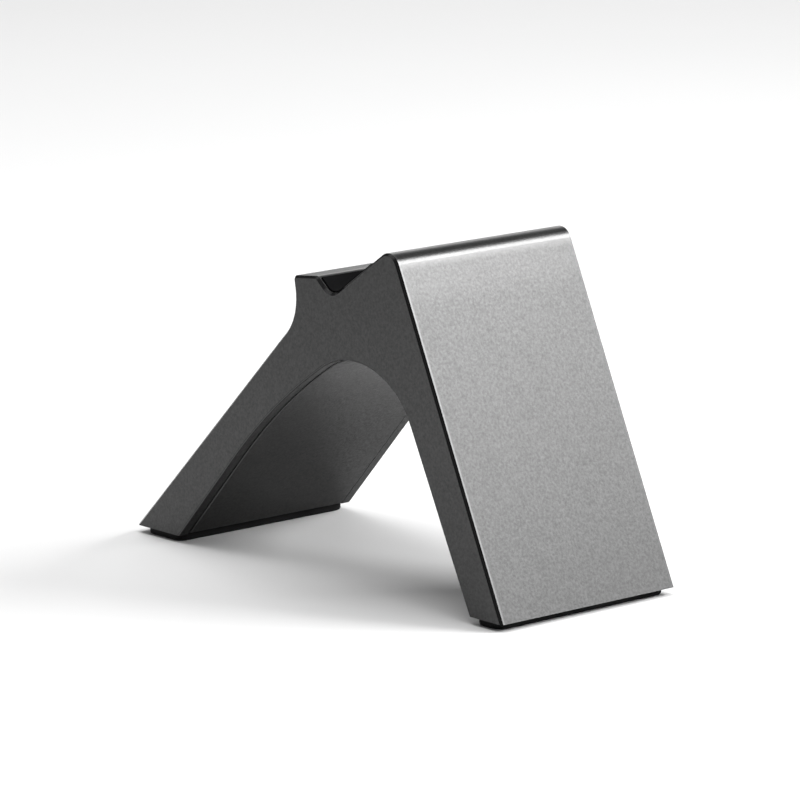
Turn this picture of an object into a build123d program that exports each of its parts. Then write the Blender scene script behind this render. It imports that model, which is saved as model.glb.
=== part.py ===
from build123d import *
import os
from math import atan2, cos, degrees, radians, sin, tan

# A low desk stand with a padded cradle.
# Seen from the side it is a lambda: a broad front leg leans back to a rounded apex,
# a cradle is cut behind the apex, and a rear leg runs down to the back.
# The body is a hollow casting of constant width, open along the arch between its legs.
# An inner cover closes the arch, and soft pads line the cradle and stand under both legs.
#
# Frame: X is the width, the front faces -Y, Z is up, and the origin is on the table
# under the middle of the footprint. Millimetres and degrees.
# The side outline is drawn as (run, rise): run is measured back from the front toe,
# and rise is measured up from the sole plane, where the legs are cut flat.

# Body
stand_width = 45.0
stand_depth = 108.3
edge_chamfer = 0.5
arch_edge_radius = 0.4

# Front leg and apex
front_angle = 65.3
apex_height = 65.8
apex_radius = 3.1

# Cradle, whose floor lies this deep under the apex
cradle_depth = 9.9
cradle_front_angle = 34.7
cradle_rear_angle = 40.0
cradle_radius = 3.0

# Horn behind the cradle, placed from the middle of the cradle's floor
horn_length = 11.35
horn_rise = 1.8
horn_top_angle = 7.0
horn_back_angle = 80.0
horn_front_radius = 1.2
horn_rear_radius = 0.8

# Hollow behind the horn: how far its corner lies down the horn's back, and how far up it starts
scoop_depth = 8.0
scoop_reach = 5.5

# Arch between the legs. As they rise, the front leg widens by its angle and the rear leg narrows
front_foot_length = 9.1
rear_foot_length = 13.2
front_taper_angle = 1.7
rear_taper_angle = 2.5
belly_turn_angle = 15.2
bridge_thickness = 10.65
crown_reach = 20.2

# Casting
side_wall = 2.3
outer_wall = 2.3
sole_wall = 2.4
ledge_width = 2.0
rib_thickness = 2.0
rib_count = 2

# Inner cover, a hair proud of the side rims with a narrow groove along each side
cover_thickness = 2.0
cover_proud = 0.2
cover_side_gap = 0.3
cover_foot_gap = 0.3
cover_edge_chamfer = 0.15

# Cradle pad
liner_thickness = 1.0
liner_proud = 0.3
liner_side_inset = 0.9
liner_front_length = 11.0
liner_rear_length = 2.4
liner_clearance = 0.1

# Foot pads
pad_thickness = 1.5
pad_side_inset = 0.8
pad_outer_inset = 1.6
pad_inner_inset = 0.5
pad_corner_radius = 2.5
pad_edge_radius = 0.5

# How far a cutting shape passes the face that it cuts, and how close counts as touching
past = 5.0
touch = 0.01

right_angle = 90
straight_angle = 180


def along(angle, length=1.0):
    """Step of a length in the direction of an angle, counted up from the run."""
    return Vector(length * cos(radians(angle)), length * sin(radians(angle)))


def crossing(point_a, angle_a, point_b, angle_b):
    """Point where two lines cross, each given by one point and its direction."""
    across_b = along(angle_b + right_angle)
    reach = (point_b - point_a).dot(across_b) / along(angle_a).dot(across_b)
    return point_a + along(angle_a, reach)


def arc_between(centre, radius, start, end):
    """Arc round a centre from one direction to another, turning either way."""
    return CenterArc(centre, radius, start, end - start)


def rounding_radius(setback, turn):
    """Radius of a rounding that starts a distance before the corner where a line turns."""
    return setback / tan(radians(turn / 2))


# Directions that point straight out of the cradle's two faces
cradle_front_normal = right_angle - cradle_front_angle
cradle_rear_normal = right_angle + cradle_rear_angle

# Fixed points of the side outline
toe = Vector(0, 0)
heel = Vector(stand_depth, 0)
apex_level = Vector(0, apex_height - apex_radius)
apex_centre = crossing(toe - along(front_angle + right_angle, apex_radius), front_angle, apex_level, 0)
cradle_floor = Vector(0, apex_height - cradle_depth)
cradle_level = cradle_floor + Vector(0, cradle_radius)
past_slope = apex_centre + along(cradle_front_normal, apex_radius + cradle_radius)
cradle_centre = crossing(past_slope, -cradle_front_angle, cradle_level, 0)
horn_rear = Vector(cradle_centre.X + horn_length, cradle_floor.Y + horn_rise)
scoop_corner = horn_rear - along(horn_back_angle, scoop_depth)

# The rear leg's outer face runs from the scoop's corner to the heel
rear_angle = degrees(atan2(scoop_corner.Y, heel.X - scoop_corner.X))
scoop_radius = rounding_radius(scoop_reach, straight_angle - horn_back_angle - rear_angle)

# Angles of the arch's three lines: up the front leg, under the bridge, and down the rear leg
front_inner_angle = front_angle - front_taper_angle
rear_inner_angle = rear_angle + rear_taper_angle
bridge_angle = rear_inner_angle - belly_turn_angle

# How deep the cover and the cradle pad are seated under the faces that they lie in
cover_seat = cover_thickness - cover_proud
liner_seat = liner_thickness - liner_proud


def silhouette():
    """Whole side outline, with the arch still filled."""
    front_flank = cradle_centre - along(cradle_front_normal, cradle_radius)
    rear_flank = cradle_centre - along(cradle_rear_normal, cradle_radius)
    rounded_corners = [
        (crossing(toe, front_angle, front_flank, -cradle_front_angle), apex_radius),
        (crossing(front_flank, -cradle_front_angle, rear_flank, cradle_rear_angle), cradle_radius),
        (crossing(rear_flank, cradle_rear_angle, horn_rear, -horn_top_angle), horn_front_radius),
        (horn_rear, horn_rear_radius),
        (scoop_corner, scoop_radius),
    ]
    corners = [corner for corner, radius in rounded_corners]
    face = make_face(Polyline(toe, *corners, heel, close=True))
    for corner, radius in rounded_corners:
        face = fillet(face.vertices().sort_by_distance(corner)[0], radius)
    return Plane.YZ * face


def below_soles(point, angle):
    """Point further down the line through a point, well below the sole plane."""
    return crossing(point, angle, Vector(0, -past), 0)


def arch_opening(grow):
    """Open space under the arch, grown all round by a distance, and passing below the soles.

    Three lines make its corners. Both corners are rounded, the front one by the small crown
    arc and the rear one by the wide belly arc, and the two arcs meet on the bridge line.
    """
    front_foot = Vector(front_foot_length, 0)
    rear_foot = Vector(stand_depth - rear_foot_length, 0)
    bridge_normal = along(right_angle - bridge_angle)
    bridge_point = cradle_centre - bridge_normal * (cradle_radius + bridge_thickness)
    front_corner = crossing(front_foot, front_inner_angle, bridge_point, -bridge_angle)
    rear_corner = crossing(rear_foot, -rear_inner_angle, bridge_point, -bridge_angle)
    meeting = front_corner + along(-bridge_angle, crown_reach)
    crown_radius = rounding_radius(crown_reach, front_inner_angle + bridge_angle)
    belly_radius = rounding_radius((rear_corner - meeting).length, belly_turn_angle)
    crown = arc_between(
        meeting - bridge_normal * crown_radius,
        crown_radius + grow,
        right_angle + front_inner_angle,
        right_angle - bridge_angle,
    )
    belly = arc_between(
        meeting - bridge_normal * belly_radius,
        belly_radius + grow,
        right_angle - bridge_angle,
        right_angle - rear_inner_angle,
    )
    front_low = below_soles(crown @ 0, front_inner_angle)
    rear_low = below_soles(belly @ 1, -rear_inner_angle)
    edges = [Line(front_low, crown @ 0), crown, belly, Line(belly @ 1, rear_low), Line(rear_low, front_low)]
    return Plane.YZ * make_face(Wire(edges))


def cradle_line(height, spare):
    """Line along the cradle's two faces and round floor, at a height over them."""
    start = cradle_front_normal - straight_angle
    end = cradle_rear_normal - straight_angle
    floor = arc_between(cradle_centre, cradle_radius - height, start, end)
    front_end = (floor @ 0) - along(-cradle_front_angle, liner_front_length + spare)
    rear_end = (floor @ 1) + along(cradle_rear_angle, liner_rear_length + spare)
    return front_end, floor, rear_end


def cradle_band(over, under, spare):
    """Strip that follows the cradle, from a height over its faces to a depth under them."""
    top_front, top_floor, top_rear = cradle_line(over, spare)
    low_front, low_floor, low_rear = cradle_line(-under, spare)
    edges = [
        Line(top_front, top_floor @ 0),
        top_floor,
        Line(top_floor @ 1, top_rear),
        Line(top_rear, low_rear),
        Line(low_rear, low_floor @ 1),
        low_floor,
        Line(low_floor @ 0, low_front),
        Line(low_front, top_front),
    ]
    return Plane.YZ * make_face(Wire(edges))


def widened(face, width):
    """Side outline made solid over a width, centred on the stand."""
    return extrude(face, amount=width / 2, both=True)


def everything_above(rise):
    """Block that holds all of the stand above a height, to trim a shape with."""
    reach = 2 * stand_depth
    return Pos(0, 0, rise) * Box(reach, 2 * reach, reach, align=(Align.CENTER, Align.CENTER, Align.MIN))


def edges_on(shape, outline, half_width):
    """Edges of a shape that follow a side outline at both sides of its width, above the soles."""
    wire = outline.wire()
    found = []
    for edge in shape.edges():
        middle = edge.center()
        off_side = abs(abs(middle.X) - half_width)
        off_outline = wire.distance_to(Vector(0, middle.Y, middle.Z))
        if max(off_side, off_outline) < touch and middle.Z > touch:
            found.append(edge)
    return found


def hollow_bays():
    """Spaces inside the casting, parted by ribs and open to the back of the cover."""
    hollow_width = stand_width - 2 * (side_wall + ledge_width)
    bay_count = rib_count + 1
    bay_width = (hollow_width - rib_count * rib_thickness) / bay_count
    pitch = bay_width + rib_thickness
    first = -pitch * rib_count / 2
    inside = offset(silhouette(), amount=-outer_wall, kind=Kind.INTERSECTION)
    bay = widened(inside, bay_width) & everything_above(sole_wall)
    return [Pos(first + pitch * index, 0, 0) * bay for index in range(bay_count)]


def make_housing():
    """Cast body: chamfered outline, softened arch, rebate for the cover, hollow bays, pad pocket."""
    body = widened(silhouette(), stand_width)
    body = chamfer(edges_on(body, silhouette(), stand_width / 2), edge_chamfer)
    body -= widened(arch_opening(0), stand_width + 2 * past)
    body = fillet(edges_on(body, arch_opening(0), stand_width / 2), arch_edge_radius)
    body -= widened(arch_opening(cover_seat), stand_width - 2 * side_wall)
    body -= hollow_bays()
    pocket_length = stand_width - 2 * (liner_side_inset - liner_clearance)
    body -= widened(cradle_band(liner_proud, liner_seat, liner_clearance), pocket_length)
    return body


def make_arch_cover():
    """Curved plate that closes the arch and stands a little proud of the side rims."""
    plate = arch_opening(cover_seat) - arch_opening(-cover_proud)
    width = stand_width - 2 * (side_wall + cover_side_gap)
    cover = widened(plate, width) & everything_above(cover_foot_gap)
    return chamfer(edges_on(cover, arch_opening(-cover_proud), width / 2), cover_edge_chamfer)


def make_cradle_pad():
    """Soft strip that lies in the cradle's pocket."""
    return widened(cradle_band(liner_proud, liner_seat, 0), stand_width - 2 * liner_side_inset)


def make_foot_pad(start, end):
    """Soft strip under one leg from one run to another, with round corners and a soft lower edge."""
    outline = RectangleRounded(stand_width - 2 * pad_side_inset, end - start, pad_corner_radius)
    pad = extrude(outline, amount=-pad_thickness)
    pad = fillet(pad.faces().sort_by(Axis.Z)[0].edges(), pad_edge_radius)
    return Pos(0, (start + end) / 2, 0) * pad


rear_foot_start = stand_depth - rear_foot_length

parts = {
    "housing": make_housing(),
    "arch_cover": make_arch_cover(),
    "cradle_pad": make_cradle_pad(),
    "front_foot_pad": make_foot_pad(pad_outer_inset, front_foot_length - pad_inner_inset),
    "rear_foot_pad": make_foot_pad(rear_foot_start + pad_inner_inset, stand_depth - pad_outer_inset),
}

# Moves the outline's zero at the front toe to the stand's own frame
to_frame = Pos(0, -stand_depth / 2, pad_thickness)

os.makedirs("parts", exist_ok=True)
for name, shape in parts.items():
    export_step(to_frame * shape, f"parts/{name}.step")
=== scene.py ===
import math

import bpy
import numpy as np
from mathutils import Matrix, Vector


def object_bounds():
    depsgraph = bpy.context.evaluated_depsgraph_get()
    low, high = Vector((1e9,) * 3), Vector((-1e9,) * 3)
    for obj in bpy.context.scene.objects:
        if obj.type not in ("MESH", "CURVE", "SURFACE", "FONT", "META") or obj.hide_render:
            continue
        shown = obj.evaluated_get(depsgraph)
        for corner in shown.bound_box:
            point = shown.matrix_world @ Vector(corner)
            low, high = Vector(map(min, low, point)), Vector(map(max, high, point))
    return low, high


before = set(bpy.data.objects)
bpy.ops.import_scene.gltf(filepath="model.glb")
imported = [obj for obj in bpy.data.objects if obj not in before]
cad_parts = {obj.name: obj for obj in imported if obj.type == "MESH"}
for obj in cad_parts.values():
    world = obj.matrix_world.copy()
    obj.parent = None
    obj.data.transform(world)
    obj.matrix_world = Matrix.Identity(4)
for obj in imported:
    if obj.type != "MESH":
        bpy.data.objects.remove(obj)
cad_low, cad_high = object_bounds()

# A desk stand of dark blasted metal on a pale floor. The scene gives the stand its finishes,
# light and camera, and adds no piece to it.
# Sizes are in metres. The stand's front faces -Y, and X is its width.


def grey(level):
    """Neutral colour of one level."""
    return (level, level, level, 1.0)


# Camera, at the photograph's viewing angle
CAMERA_PLACE = Vector((-0.6977, -0.7932, 0.2591))
CAMERA_AIM = Vector((0.0, 0.0, 0.0325))
CAMERA_LENS_MM = 250.0
SENSOR_MM = 36.0

# Sizes of the metal's grain, its pits and the faint clouds that handling leaves
GRAIN_SIZE = 0.00054
PIT_SIZE = 0.00016
CLOUD_SIZE = 0.014
GRAIN_RELIEF = 0.000026
GRAIN_RELIEF_STRENGTH = 0.5
PIT_RELIEF = 0.000010
PIT_RELIEF_STRENGTH = 0.4

# Metal colours of the body, of the painted shade on the underside along the arch, of cut edges and of
# the painted highlights
BODY_DARK = grey(0.055)
BODY_LIGHT = grey(0.085)
SHADED_UNDERSIDE_DARK = grey(0.030)
SHADED_UNDERSIDE_LIGHT = grey(0.052)
CUT_EDGE = grey(0.070)
ARCH_EDGE = grey(0.095)
PAINTED_HIGHLIGHT = grey(0.112)
CLOUD_SHARE = 0.15
GRAIN_COLOUR_SPAN = (0.30, 0.70)

# Reflection at a low angle, which the underside has less of as painted shade
FULL_TINT = grey(1.0)
SHADED_UNDERSIDE_TINT_DARK = grey(0.62)
SHADED_UNDERSIDE_TINT_LIGHT = grey(0.82)

# Metal roughness, and how much smoother the cut edges outside the arch are
METAL_ROUGHNESS = (0.38, 0.30)
GRAIN_ROUGHNESS_SPAN = (0.25, 0.75)
CLOUD_ROUGHNESS = (-0.015, 0.015)
CLOUD_ROUGHNESS_SPAN = (0.3, 0.7)
CUT_EDGE_POLISH = 0.16

# Where the finishes and painted light change: the Z of the direction that the underside with painted
# shade faces, how far a cut edge may be off its half-way lean, and the Y of the direction that the front
# face looks in
UNDERSIDE_SPAN = (-0.10, -0.22)
CUT_EDGE_LEAN = math.sqrt(0.5)
CUT_EDGE_SPAN = (0.12, 0.28)
FRONT_FACE_SPAN = (-0.76, -0.89)

# Painted highlight in a thin band beside the side chamfers, and its share at the far side
EDGE_CHAMFER = 0.00050
EDGE_HIGHLIGHT_WIDTH = 0.00050
EDGE_HIGHLIGHT_FADE = EDGE_HIGHLIGHT_WIDTH / 3
FAR_SIDE_HIGHLIGHT = 0.2

# Painted highlight in a band under the line where the front face starts to round over the apex,
# and a fainter painted lighter strip below it
APEX_LINE = 0.0655
APEX_BAND = 0.0024
APEX_BAND_CURVE = 2.0
TOP_LIGHT_NEAR = 0.0045
TOP_LIGHT_FAR = 0.0085
TOP_LIGHT_SHARE = 0.18

# Rubber
RUBBER_DARK = (0.0030, 0.0030, 0.0032, 1.0)
RUBBER_LIGHT = (0.0060, 0.0060, 0.0063, 1.0)
RUBBER_GRAIN_SIZE = 0.0003
RUBBER_RELIEF = 0.00003
RUBBER_RELIEF_STRENGTH = 0.6
RUBBED_COLOUR_SPAN = (0.35, 0.70)
RUBBED_ROUGHNESS_SPAN = (0.3, 0.7)

# Floor
FLOOR_RADIUS = 3.0
FLOOR_RINGS = 24
FLOOR_SPOKES = 96
FLOOR_DARK = grey(0.80)
FLOOR_LIGHT = grey(0.84)
FLOOR_PATCH_SIZE = 0.25
FLOOR_FIBRE_SIZE = 0.0015
FLOOR_ROUGHNESS = (0.72, 0.85)
FLOOR_ROUGHNESS_SPAN = (0.3, 0.7)
FLOOR_RELIEF = 0.00005
FLOOR_RELIEF_STRENGTH = 0.15
FLOOR_SPECULAR_LEVEL = 0.2

# Light
STAND_MIDDLE = (0.0, 0.0, 0.05)
WORLD_COLOUR = grey(1.0)
WORLD_STRENGTH = 0.15


# Node helpers


def start_material(name):
    """Empty node material with its output and main shader joined."""
    material = bpy.data.materials.new(name)
    material.use_nodes = True
    tree = material.node_tree
    tree.nodes.clear()
    output = tree.nodes.new("ShaderNodeOutputMaterial")
    shader = tree.nodes.new("ShaderNodeBsdfPrincipled")
    tree.links.new(shader.outputs["BSDF"], output.inputs["Surface"])
    return material, tree, shader


def object_coordinates(tree):
    """Place on the piece, in metres."""
    return tree.nodes.new("ShaderNodeTexCoord").outputs["Object"]


def parts_of(tree, vector):
    """The X, Y and Z of a place or a direction."""
    split = tree.nodes.new("ShaderNodeSeparateXYZ")
    tree.links.new(vector, split.inputs["Vector"])
    return split.outputs


def facing(tree):
    """The X, Y and Z of the direction that the surface faces, before its relief."""
    return parts_of(tree, tree.nodes.new("ShaderNodeNewGeometry").outputs["Normal"])


def noise(tree, place, size, detail=2.0, roughness=0.5):
    """Smooth random value from 0 to 1, with lumps of about a given size."""
    texture = tree.nodes.new("ShaderNodeTexNoise")
    texture.inputs["Scale"].default_value = 1.0 / size
    texture.inputs["Detail"].default_value = detail
    texture.inputs["Roughness"].default_value = roughness
    tree.links.new(place, texture.inputs["Vector"])
    return texture.outputs["Fac"]


def rescale(tree, value, span, new_span):
    """Value moved from one span to another and held inside it."""
    start, end = span
    new_start, new_end = new_span
    ranger = tree.nodes.new("ShaderNodeMapRange")
    ranger.inputs["From Min"].default_value = start
    ranger.inputs["From Max"].default_value = end
    ranger.inputs["To Min"].default_value = new_start
    ranger.inputs["To Max"].default_value = new_end
    tree.links.new(value, ranger.inputs["Value"])
    return ranger.outputs["Result"]


def combine(tree, operation, first, second):
    """Two values put through one sum; either may be a plain number."""
    sums = tree.nodes.new("ShaderNodeMath")
    sums.operation = operation
    for socket, value in zip(sums.inputs, (first, second)):
        if isinstance(value, (int, float)):
            socket.default_value = value
        else:
            tree.links.new(value, socket)
    return sums.outputs["Value"]


def distance_from(tree, value, place):
    """How far a value is from a number, either way."""
    return combine(tree, "ABSOLUTE", combine(tree, "SUBTRACT", value, place), 0.0)


def blend_colours(tree, amount, first, second):
    """Colour between two colours; either may come from another node."""
    mixer = tree.nodes.new("ShaderNodeMix")
    mixer.data_type = "RGBA"
    tree.links.new(amount, mixer.inputs["Factor"])
    for name, colour in (("A", first), ("B", second)):
        socket = next(s for s in mixer.inputs if s.name == name and s.type == "RGBA")
        if isinstance(colour, tuple):
            socket.default_value = colour
        else:
            tree.links.new(colour, socket)
    return next(s for s in mixer.outputs if s.type == "RGBA")


def bumps(tree, height, depth, strength, below=None):
    """Surface relief from a height from 0 to 1, with its depth in metres, over any relief below it."""
    bump = tree.nodes.new("ShaderNodeBump")
    bump.inputs["Distance"].default_value = depth
    bump.inputs["Strength"].default_value = strength
    tree.links.new(height, bump.inputs["Height"])
    if below is not None:
        tree.links.new(below, bump.inputs["Normal"])
    return bump.outputs["Normal"]


# Masks on the metal


def underside_shade_mask(tree):
    """Painted shade: 1 where the surface leans down, as it does all along the arch, and 0 elsewhere."""
    return rescale(tree, facing(tree)["Z"], UNDERSIDE_SPAN, (0.0, 1.0))


def cut_edge_mask(tree):
    """1 on chamfers and roundings that lean half way from the side faces, and 0 elsewhere."""
    lean = distance_from(tree, facing(tree)["X"], 0.0)
    return rescale(tree, distance_from(tree, lean, CUT_EDGE_LEAN), CUT_EDGE_SPAN, (1.0, 0.0))


def painted_edge_highlight_mask(tree):
    """Painted highlight: 1 in a thin band beside the side chamfers, fainter towards the far side, and 0
    elsewhere.
    """
    across = parts_of(tree, object_coordinates(tree))["X"]
    off_middle = distance_from(tree, across, 0.0)
    band_end = cad_high[0] - EDGE_CHAMFER
    band_start = band_end - EDGE_HIGHLIGHT_WIDTH
    past_start = rescale(tree, off_middle, (band_start, band_start + EDGE_HIGHLIGHT_FADE), (0.0, 1.0))
    before_end = rescale(tree, off_middle, (band_end, band_end + EDGE_HIGHLIGHT_FADE), (1.0, 0.0))
    near_side_share = rescale(tree, across, (cad_low[0], cad_high[0]), (1.0, FAR_SIDE_HIGHLIGHT))
    return combine(tree, "MULTIPLY", combine(tree, "MULTIPLY", past_start, before_end), near_side_share)


def painted_apex_highlight_mask(tree):
    """Painted light: faint on the upper front face, 1 just under the apex, and 0 over its top."""
    height = parts_of(tree, object_coordinates(tree))["Z"]
    band = rescale(tree, height, (APEX_LINE - APEX_BAND, APEX_LINE), (0.0, 1.0))
    bright = combine(tree, "POWER", band, APEX_BAND_CURVE)
    top_light_span = (APEX_LINE - TOP_LIGHT_FAR, APEX_LINE - TOP_LIGHT_NEAR)
    top_light = rescale(tree, height, top_light_span, (0.0, TOP_LIGHT_SHARE))
    on_front = rescale(tree, facing(tree)["Y"], FRONT_FACE_SPAN, (0.0, 1.0))
    return combine(tree, "MULTIPLY", combine(tree, "MAXIMUM", bright, top_light), on_front)


# Materials


def blasted_metal(name):
    """Dark anodised metal: bead-blasted grain and pits, clouds of handling, smoother cut edges, painted
    shade on the underside and painted highlights beside the side chamfers and under the apex.
    """
    material, tree, shader = start_material(name)
    place = object_coordinates(tree)
    grain = noise(tree, place, GRAIN_SIZE, detail=3.0, roughness=0.65)
    pits = noise(tree, place, PIT_SIZE, detail=1.0)
    clouds = noise(tree, place, CLOUD_SIZE, detail=4.0, roughness=0.6)
    underside_shade = underside_shade_mask(tree)
    edge = cut_edge_mask(tree)

    grain_tone = rescale(tree, grain, GRAIN_COLOUR_SPAN, (0.0, 1.0 - CLOUD_SHARE))
    tone = combine(tree, "ADD", grain_tone, combine(tree, "MULTIPLY", clouds, CLOUD_SHARE))
    upper = blend_colours(tree, tone, BODY_DARK, BODY_LIGHT)
    # Painted highlight in a thin band beside the side chamfers
    upper = blend_colours(tree, painted_edge_highlight_mask(tree), upper, PAINTED_HIGHLIGHT)
    # Painted highlight under the apex, and a fainter painted lighter strip below it
    upper = blend_colours(tree, painted_apex_highlight_mask(tree), upper, PAINTED_HIGHLIGHT)
    # Darker colours where the surface leans down along the arch: painted shade
    shaded_colour = blend_colours(tree, tone, SHADED_UNDERSIDE_DARK, SHADED_UNDERSIDE_LIGHT)
    colour = blend_colours(tree, underside_shade, upper, shaded_colour)
    edge_colour = blend_colours(tree, underside_shade, CUT_EDGE, ARCH_EDGE)
    tree.links.new(blend_colours(tree, edge, colour, edge_colour), shader.inputs["Base Color"])

    # Weaker reflection at a low angle where the surface leans down: painted shade
    shaded_tint = blend_colours(tree, tone, SHADED_UNDERSIDE_TINT_DARK, SHADED_UNDERSIDE_TINT_LIGHT)
    tint = blend_colours(tree, underside_shade, FULL_TINT, shaded_tint)
    tree.links.new(blend_colours(tree, edge, tint, FULL_TINT), shader.inputs["Specular Tint"])

    grain_roughness = rescale(tree, grain, GRAIN_ROUGHNESS_SPAN, METAL_ROUGHNESS)
    cloud_roughness = rescale(tree, clouds, CLOUD_ROUGHNESS_SPAN, CLOUD_ROUGHNESS)
    upper_edge = combine(tree, "MULTIPLY", edge, combine(tree, "SUBTRACT", 1.0, underside_shade))
    polish = combine(tree, "MULTIPLY", upper_edge, CUT_EDGE_POLISH)
    rough = combine(tree, "ADD", grain_roughness, cloud_roughness)
    tree.links.new(combine(tree, "SUBTRACT", rough, polish), shader.inputs["Roughness"])

    relief = bumps(tree, grain, GRAIN_RELIEF, GRAIN_RELIEF_STRENGTH)
    relief = bumps(tree, pits, PIT_RELIEF, PIT_RELIEF_STRENGTH, below=relief)
    tree.links.new(relief, shader.inputs["Normal"])
    shader.inputs["Metallic"].default_value = 1.0
    return material


def soft_rubber(name, roughness, specular_level):
    """Near-black rubber: fine even grain, slightly greyer and smoother where it has been rubbed."""
    material, tree, shader = start_material(name)
    place = object_coordinates(tree)
    grain = noise(tree, place, RUBBER_GRAIN_SIZE)
    rubbed = noise(tree, place, CLOUD_SIZE, detail=3.0)
    greyer = rescale(tree, rubbed, RUBBED_COLOUR_SPAN, (0.0, 1.0))
    colour = blend_colours(tree, greyer, RUBBER_DARK, RUBBER_LIGHT)
    relief = bumps(tree, grain, RUBBER_RELIEF, RUBBER_RELIEF_STRENGTH)
    tree.links.new(colour, shader.inputs["Base Color"])
    tree.links.new(rescale(tree, rubbed, RUBBED_ROUGHNESS_SPAN, roughness), shader.inputs["Roughness"])
    tree.links.new(relief, shader.inputs["Normal"])
    shader.inputs["Specular IOR Level"].default_value = specular_level
    return material


def pale_floor(name):
    """Matt pale surface with a very faint unevenness."""
    material, tree, shader = start_material(name)
    place = object_coordinates(tree)
    patches = noise(tree, place, FLOOR_PATCH_SIZE, detail=3.0)
    fibres = noise(tree, place, FLOOR_FIBRE_SIZE)
    colour = blend_colours(tree, patches, FLOOR_DARK, FLOOR_LIGHT)
    roughness = rescale(tree, patches, FLOOR_ROUGHNESS_SPAN, FLOOR_ROUGHNESS)
    relief = bumps(tree, fibres, FLOOR_RELIEF, FLOOR_RELIEF_STRENGTH)
    tree.links.new(colour, shader.inputs["Base Color"])
    tree.links.new(roughness, shader.inputs["Roughness"])
    tree.links.new(relief, shader.inputs["Normal"])
    shader.inputs["Specular IOR Level"].default_value = FLOOR_SPECULAR_LEVEL
    return material


finishes = {
    "housing": blasted_metal("blasted body"),
    "arch_cover": blasted_metal("blasted cover"),
    "cradle_pad": soft_rubber("cradle rubber", roughness=(0.95, 0.80), specular_level=0.02),
    "front_foot_pad": soft_rubber("foot rubber", roughness=(0.85, 0.70), specular_level=0.2),
}
finishes["rear_foot_pad"] = finishes["front_foot_pad"]
for node_name, finish in finishes.items():
    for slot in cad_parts[node_name].material_slots:
        slot.material = finish


# Floor


def round_floor(name, radius):
    """Flat disc: rings whose radius grows with the square of their number, cut by even spokes."""
    ring = (np.arange(FLOOR_RINGS + 1) / FLOOR_RINGS) ** 2 * radius
    angle = np.linspace(0.0, 2.0 * math.pi, FLOOR_SPOKES, endpoint=False)
    x = np.outer(ring[1:], np.cos(angle))
    y = np.outer(ring[1:], np.sin(angle))
    rims = np.stack([x, y, np.zeros_like(x)], axis=-1).reshape(-1, 3)
    places = np.vstack([np.zeros((1, 3)), rims])
    here = np.arange(FLOOR_SPOKES)
    after = (here + 1) % FLOOR_SPOKES
    middle = np.stack([np.zeros_like(here), 1 + here, 1 + after], axis=1)
    start = 1 + np.arange(FLOOR_RINGS - 1)[:, None] * FLOOR_SPOKES
    inner = start + here
    inner_after = start + after
    bands = np.stack([inner, inner + FLOOR_SPOKES, inner_after + FLOOR_SPOKES, inner_after], axis=-1)
    mesh = bpy.data.meshes.new(name)
    mesh.from_pydata(places.tolist(), [], middle.tolist() + bands.reshape(-1, 4).tolist())
    disc = bpy.data.objects.new(name, mesh)
    bpy.context.scene.collection.objects.link(disc)
    return disc


floor = round_floor("floor", FLOOR_RADIUS)
floor.data.materials.append(pale_floor("pale sweep"))


# Light


def softbox(name, place, aim, size, watts):
    """Rectangular soft light that looks at a point; its size is its width and height."""
    lamp = bpy.data.lights.new(name, "AREA")
    lamp.shape = "RECTANGLE"
    lamp.size, lamp.size_y = size
    lamp.energy = watts
    box = bpy.data.objects.new(name, lamp)
    box.location = place
    box.rotation_euler = (Vector(aim) - Vector(place)).to_track_quat("-Z", "Y").to_euler()
    bpy.context.scene.collection.objects.link(box)


# Lower and upper halves of the light that the front face mirrors
softbox("low key softbox", place=(0.44, -0.44, 0.32), aim=(0.0, 0.0, 0.04), size=(0.42, 0.22), watts=1.8)
softbox("high key softbox", place=(0.42, -0.36, 0.47), aim=STAND_MIDDLE, size=(0.42, 0.16), watts=3.6)

# Light from behind, above and the other sides, for the rest of the stand and the floor
softbox("back softbox", place=(0.95, 0.95, 0.60), aim=STAND_MIDDLE, size=(0.9, 0.6), watts=3.6)
softbox("overhead softbox", place=(0.0, 0.15, 1.20), aim=(0.0, 0.1, 0.0), size=(0.9, 0.9), watts=11.0)
softbox("front softbox", place=(0.0, -0.96, 1.14), aim=STAND_MIDDLE, size=(0.9, 0.6), watts=3.2)
softbox("upper left softbox", place=(-0.72, 0.56, 1.20), aim=STAND_MIDDLE, size=(1.2, 1.2), watts=1.9)

world = bpy.data.worlds.new("studio")
world.use_nodes = True
background = world.node_tree.nodes["Background"]
background.inputs["Color"].default_value = WORLD_COLOUR
background.inputs["Strength"].default_value = WORLD_STRENGTH
bpy.context.scene.world = world
bpy.context.scene.view_settings.view_transform = "Standard"


# Camera

camera_data = bpy.data.cameras.new("photo camera")
camera_data.sensor_width = SENSOR_MM
camera_data.lens = CAMERA_LENS_MM
camera = bpy.data.objects.new("photo camera", camera_data)
camera.location = CAMERA_PLACE
camera.rotation_euler = (CAMERA_AIM - CAMERA_PLACE).to_track_quat("-Z", "Y").to_euler()
bpy.context.scene.collection.objects.link(camera)
bpy.context.scene.camera = camera
